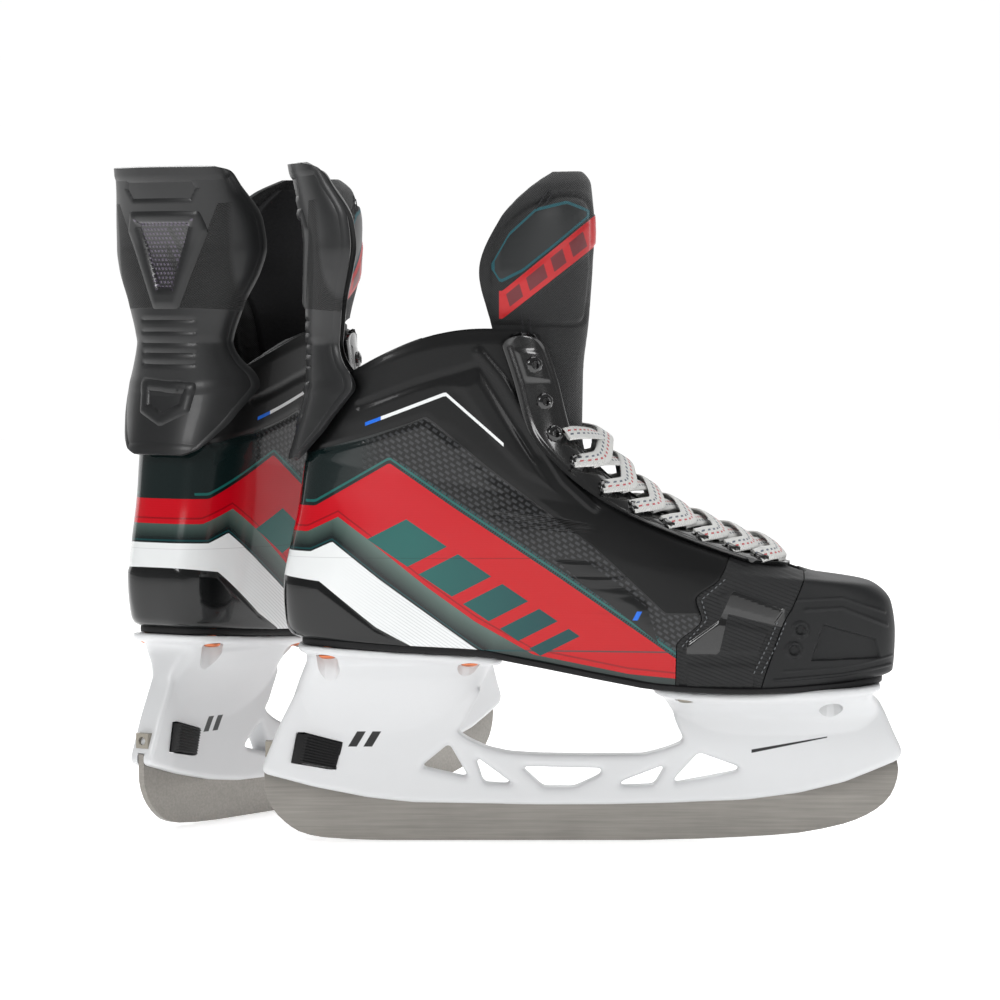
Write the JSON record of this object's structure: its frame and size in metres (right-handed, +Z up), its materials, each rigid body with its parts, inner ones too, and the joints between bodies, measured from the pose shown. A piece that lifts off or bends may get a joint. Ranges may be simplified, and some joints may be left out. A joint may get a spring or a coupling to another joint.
{
  "type": "ice hockey skates",
  "caption": "Pair of ice hockey skates: moulded boot, padded tongue, tendon guard and lace on a plastic holder with a removable steel runner.",
  "frame": {"origin": "middle of the pair's bounding box, on the ice under the runners", "axes": "+X the way the right skate points, +Y to its left, +Z up from the ice"},
  "size_m": [0.3606, 0.3192, 0.3088],
  "materials": {
    "composite_shell": "lacquered composite, carbon weave showing, red, white and teal bands",
    "stitched_vamp": "coated textile with stitched glossy panels",
    "toe_plastic": "satin moulded thermoplastic",
    "outsole_rubber": "dark moulded sole edge",
    "felt": "dark grey felt and foam",
    "lining_fabric": "soft padded lining",
    "gloss_trim": "gloss black lacing strip",
    "guard_plastic": "moulded black guard with carbon-look panels",
    "tongue_fabric": "padded tongue cover with a red band",
    "lace_weave": "white woven lace flecked red and navy",
    "white_nylon": "white glass-filled nylon, satin",
    "runner_steel": "ground stainless steel",
    "button_plastic": "black ribbed plastic",
    "spring_steel": "coiled wire",
    "nut_steel": "square plated nut",
    "rivet_copper": "copper-coloured rivet",
    "rivet_steel": "plated rivet"
  },
  "bodies": {
    "right_boot": {"right_quarter_inner": "composite_shell", "right_quarter_outer": "composite_shell", "right_vamp": "stitched_vamp", "right_toe_cap": "toe_plastic", "right_outsole": "outsole_rubber", "right_insole": "felt", "right_collar_pad": "lining_fabric", "right_eyestay_inner": "gloss_trim", "right_eyestay_outer": "gloss_trim", "right_guard_base": "guard_plastic", "right_tongue_lower": "tongue_fabric", "right_lace": "lace_weave", "right_holder": "white_nylon", "right_release_spring": "spring_steel", "right_lock_nut": "nut_steel", "right_rivet_1": "rivet_copper", "right_rivet_2": "rivet_copper", "right_rivet_3": "rivet_copper", "right_rivet_4": "rivet_copper", "right_rivet_5": "rivet_steel", "right_rivet_6": "rivet_steel", "right_rivet_7": "rivet_steel", "right_rivet_8": "rivet_steel"},
    "right_tongue_flap": {"right_tongue": "tongue_fabric", "right_tongue_liner": "felt"},
    "right_guard_blade": {"right_tendon_guard": "guard_plastic", "right_guard_pad": "lining_fabric"},
    "right_steel": {"right_runner": "runner_steel"},
    "right_release": {"right_release_button": "button_plastic"},
    "left_boot": {"left_quarter_inner": "composite_shell", "left_quarter_outer": "composite_shell", "left_vamp": "stitched_vamp", "left_toe_cap": "toe_plastic", "left_outsole": "outsole_rubber", "left_insole": "felt", "left_collar_pad": "lining_fabric", "left_eyestay_inner": "gloss_trim", "left_eyestay_outer": "gloss_trim", "left_guard_base": "guard_plastic", "left_tongue_lower": "tongue_fabric", "left_lace": "lace_weave", "left_holder": "white_nylon", "left_release_spring": "spring_steel", "left_lock_nut": "nut_steel", "left_rivet_1": "rivet_copper", "left_rivet_2": "rivet_copper", "left_rivet_3": "rivet_copper", "left_rivet_4": "rivet_copper", "left_rivet_5": "rivet_steel", "left_rivet_6": "rivet_steel", "left_rivet_7": "rivet_steel", "left_rivet_8": "rivet_steel"},
    "left_tongue_flap": {"left_tongue": "tongue_fabric", "left_tongue_liner": "felt"},
    "left_guard_blade": {"left_tendon_guard": "guard_plastic", "left_guard_pad": "lining_fabric"},
    "left_steel": {"left_runner": "runner_steel"},
    "left_release": {"left_release_button": "button_plastic"}
  },
  "joints": [
    {"name": "left_skate_lift", "type": "slide", "parent": "right_boot", "child": "left_boot", "axis": [0, 0, 1], "range_m": [0, 0.35]},
    {"name": "right_tongue_open", "type": "hinge", "parent": "right_boot", "child": "right_tongue_flap", "pos_m": [0.03401, -0.11908, 0.2095], "axis": [0, 1, 0], "range_deg": [-3, 35], "stiffness_Nm_per_rad": 2},
    {"name": "right_guard_flex", "type": "hinge", "parent": "right_boot", "child": "right_guard_blade", "pos_m": [-0.08899, -0.11908, 0.217], "axis": [0, -1, 0], "range_deg": [-2, 22], "stiffness_Nm_per_rad": 4},
    {"name": "right_runner_drop", "type": "slide", "parent": "right_boot", "child": "right_steel", "axis": [0, 0, -1], "range_m": [0, 0.05]},
    {"name": "right_button_pull", "type": "slide", "parent": "right_boot", "child": "right_release", "axis": [-1, 0, 0], "range_m": [0, 0.003], "stiffness_N_per_m": 1200},
    {"name": "left_tongue_open", "type": "hinge", "parent": "left_boot", "child": "left_tongue_flap", "pos_m": [-0.08913, 0.03454, 0.2095], "axis": [-0.829, 0.5592, 0], "range_deg": [-3, 35], "stiffness_Nm_per_rad": 2},
    {"name": "left_guard_flex", "type": "hinge", "parent": "left_boot", "child": "left_guard_blade", "pos_m": [-0.15791, -0.06743, 0.217], "axis": [0.829, -0.5592, 0], "range_deg": [-2, 22], "stiffness_Nm_per_rad": 4},
    {"name": "left_runner_drop", "type": "slide", "parent": "left_boot", "child": "left_steel", "axis": [0, 0, -1], "range_m": [0, 0.05]},
    {"name": "left_button_pull", "type": "slide", "parent": "left_boot", "child": "left_release", "axis": [-0.5592, -0.829, 0], "range_m": [0, 0.003], "stiffness_N_per_m": 1200}
  ]
}
